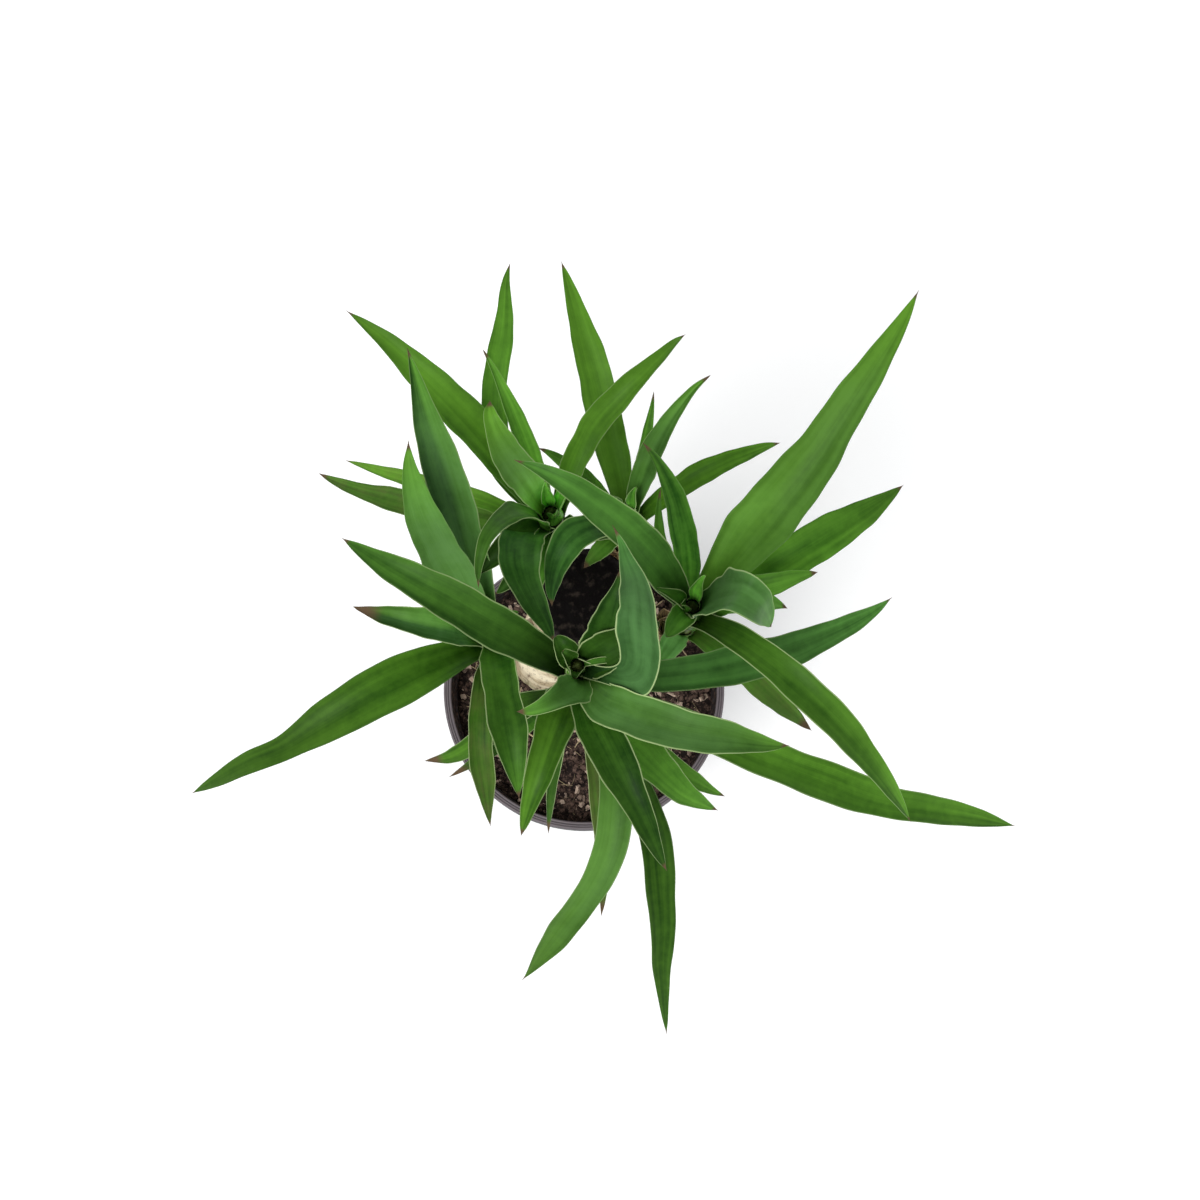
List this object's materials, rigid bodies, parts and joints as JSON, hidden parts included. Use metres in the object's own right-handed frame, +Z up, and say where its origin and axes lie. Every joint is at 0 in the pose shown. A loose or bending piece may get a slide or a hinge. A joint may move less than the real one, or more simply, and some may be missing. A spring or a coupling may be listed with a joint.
{
  "type": "potted yucca cane",
  "caption": "Leaning bare yucca cane with a waxed top and rosettes of sword-shaped leaves on green side shoots, standing in peat in a round tapered nursery pot.",
  "frame": {"origin": "centre of the pot's underside, on the surface that it stands on", "axes": "+Z up along the pot's axis; -Y towards the front, the side with the tallest shoot; +X to the right seen from the front"},
  "size_m": [0.4059, 0.3655, 0.5611],
  "materials": {
    "pot_plastic": "matte charcoal moulded plastic",
    "peat": "rough moist peat with chips of bark and fibres",
    "cane_bark": "dry corky bark",
    "sealing_wax": "satin black wax",
    "stem_green": "satin, ringed by leaf bases",
    "leaf_green": "satin, waxy, with fine lengthwise veins and a pale edge"
  },
  "bodies": {
    "root": {"pot": "pot_plastic", "soil": "peat", "cane": "cane_bark", "wax_cap": "sealing_wax", "shoot_front": "stem_green", "leaf_front_01": "leaf_green", "leaf_front_02": "leaf_green", "leaf_front_03": "leaf_green", "leaf_front_04": "leaf_green", "leaf_front_05": "leaf_green", "leaf_front_06": "leaf_green", "leaf_front_07": "leaf_green", "leaf_front_08": "leaf_green", "leaf_front_09": "leaf_green", "leaf_front_10": "leaf_green", "leaf_front_11": "leaf_green", "leaf_front_12": "leaf_green", "leaf_front_13": "leaf_green", "leaf_front_14": "leaf_green", "leaf_front_15": "leaf_green", "leaf_front_16": "leaf_green", "leaf_front_17": "leaf_green", "shoot_right": "stem_green", "leaf_right_01": "leaf_green", "leaf_right_02": "leaf_green", "leaf_right_03": "leaf_green", "leaf_right_04": "leaf_green", "leaf_right_05": "leaf_green", "leaf_right_06": "leaf_green", "leaf_right_07": "leaf_green", "leaf_right_08": "leaf_green", "leaf_right_09": "leaf_green", "leaf_right_10": "leaf_green", "leaf_right_11": "leaf_green", "shoot_back": "stem_green", "leaf_back_01": "leaf_green", "leaf_back_02": "leaf_green", "leaf_back_03": "leaf_green", "leaf_back_04": "leaf_green", "leaf_back_05": "leaf_green", "leaf_back_06": "leaf_green", "leaf_back_07": "leaf_green", "leaf_back_08": "leaf_green", "leaf_back_09": "leaf_green", "leaf_back_10": "leaf_green", "shoot_left": "stem_green", "leaf_left_01": "leaf_green", "leaf_left_02": "leaf_green", "leaf_left_03": "leaf_green", "leaf_left_04": "leaf_green", "leaf_left_05": "leaf_green", "leaf_left_06": "leaf_green", "shoot_rear": "stem_green", "leaf_rear_01": "leaf_green", "leaf_rear_02": "leaf_green", "leaf_rear_03": "leaf_green", "leaf_rear_04": "leaf_green", "leaf_rear_05": "leaf_green", "leaf_rear_06": "leaf_green", "leaf_rear_07": "leaf_green"}
  },
  "joints": []
}
